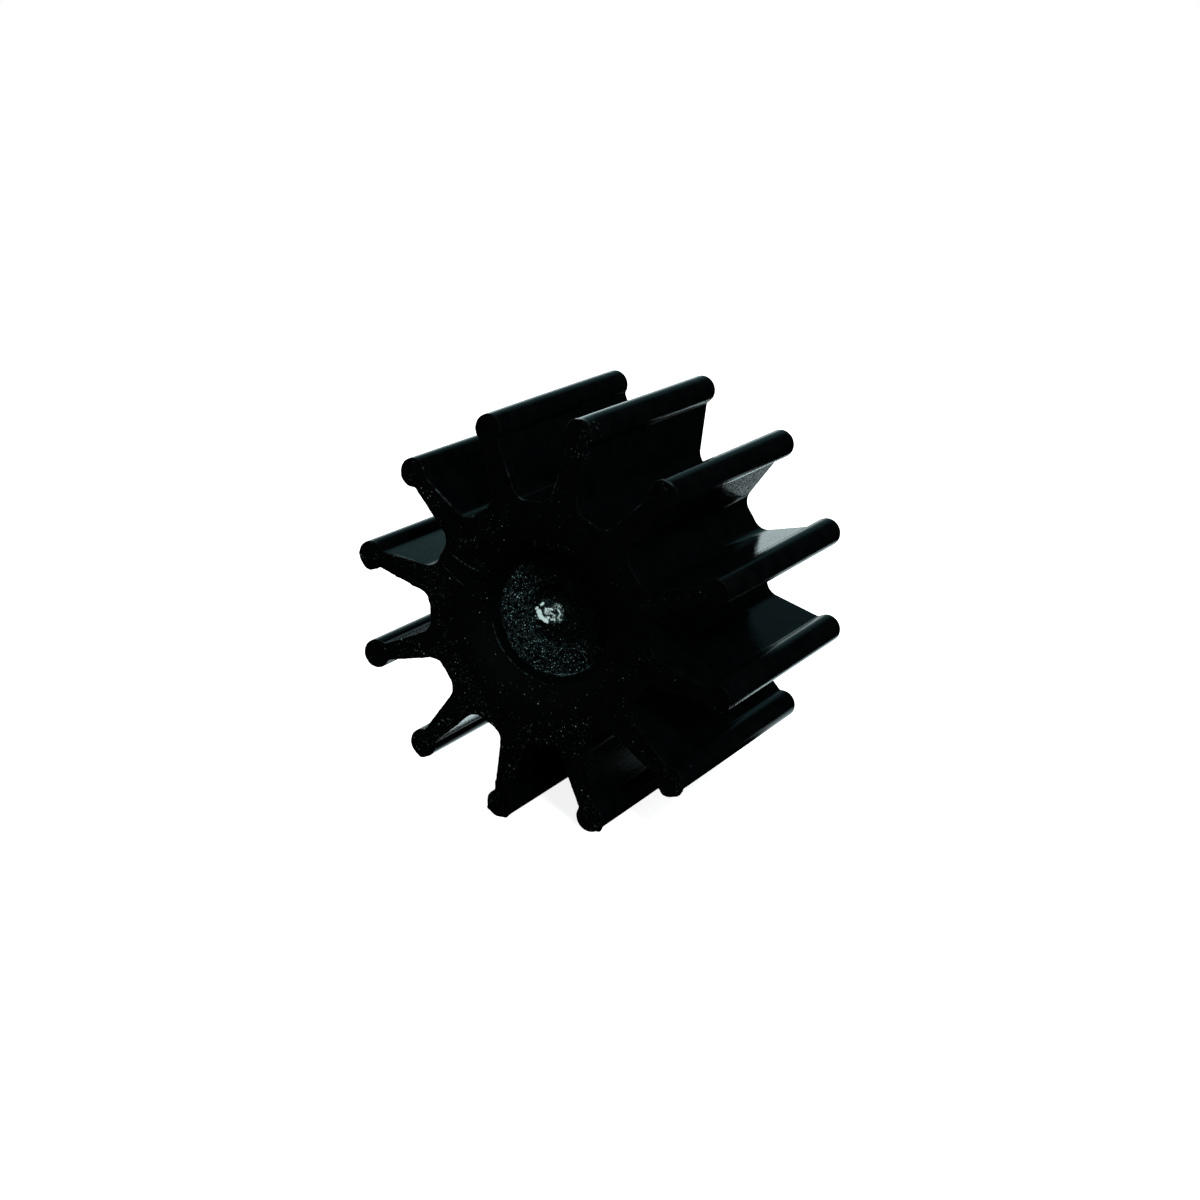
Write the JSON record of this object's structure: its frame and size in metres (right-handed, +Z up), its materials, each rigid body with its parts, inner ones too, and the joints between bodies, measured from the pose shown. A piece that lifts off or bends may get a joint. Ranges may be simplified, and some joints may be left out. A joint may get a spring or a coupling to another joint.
{
  "type": "flexible rubber pump impeller",
  "caption": "Flexible rubber impeller with straight radial vanes, round vane tips and a keyed metal hub insert. It turns in a pump housing to move water.",
  "frame": {"origin": "on the shaft axis, halfway between the two end faces", "axes": "+Y along the shaft axis, out of the open rear end; +Z up, as the impeller lies on two vane tips"},
  "size_m": [0.063, 0.0412, 0.063],
  "materials": {
    "rubber": "matt moulded black rubber",
    "insert_metal": "turned bare metal"
  },
  "bodies": {
    "root": {"rubber_body": "rubber", "hub_insert": "insert_metal"}
  },
  "joints": []
}
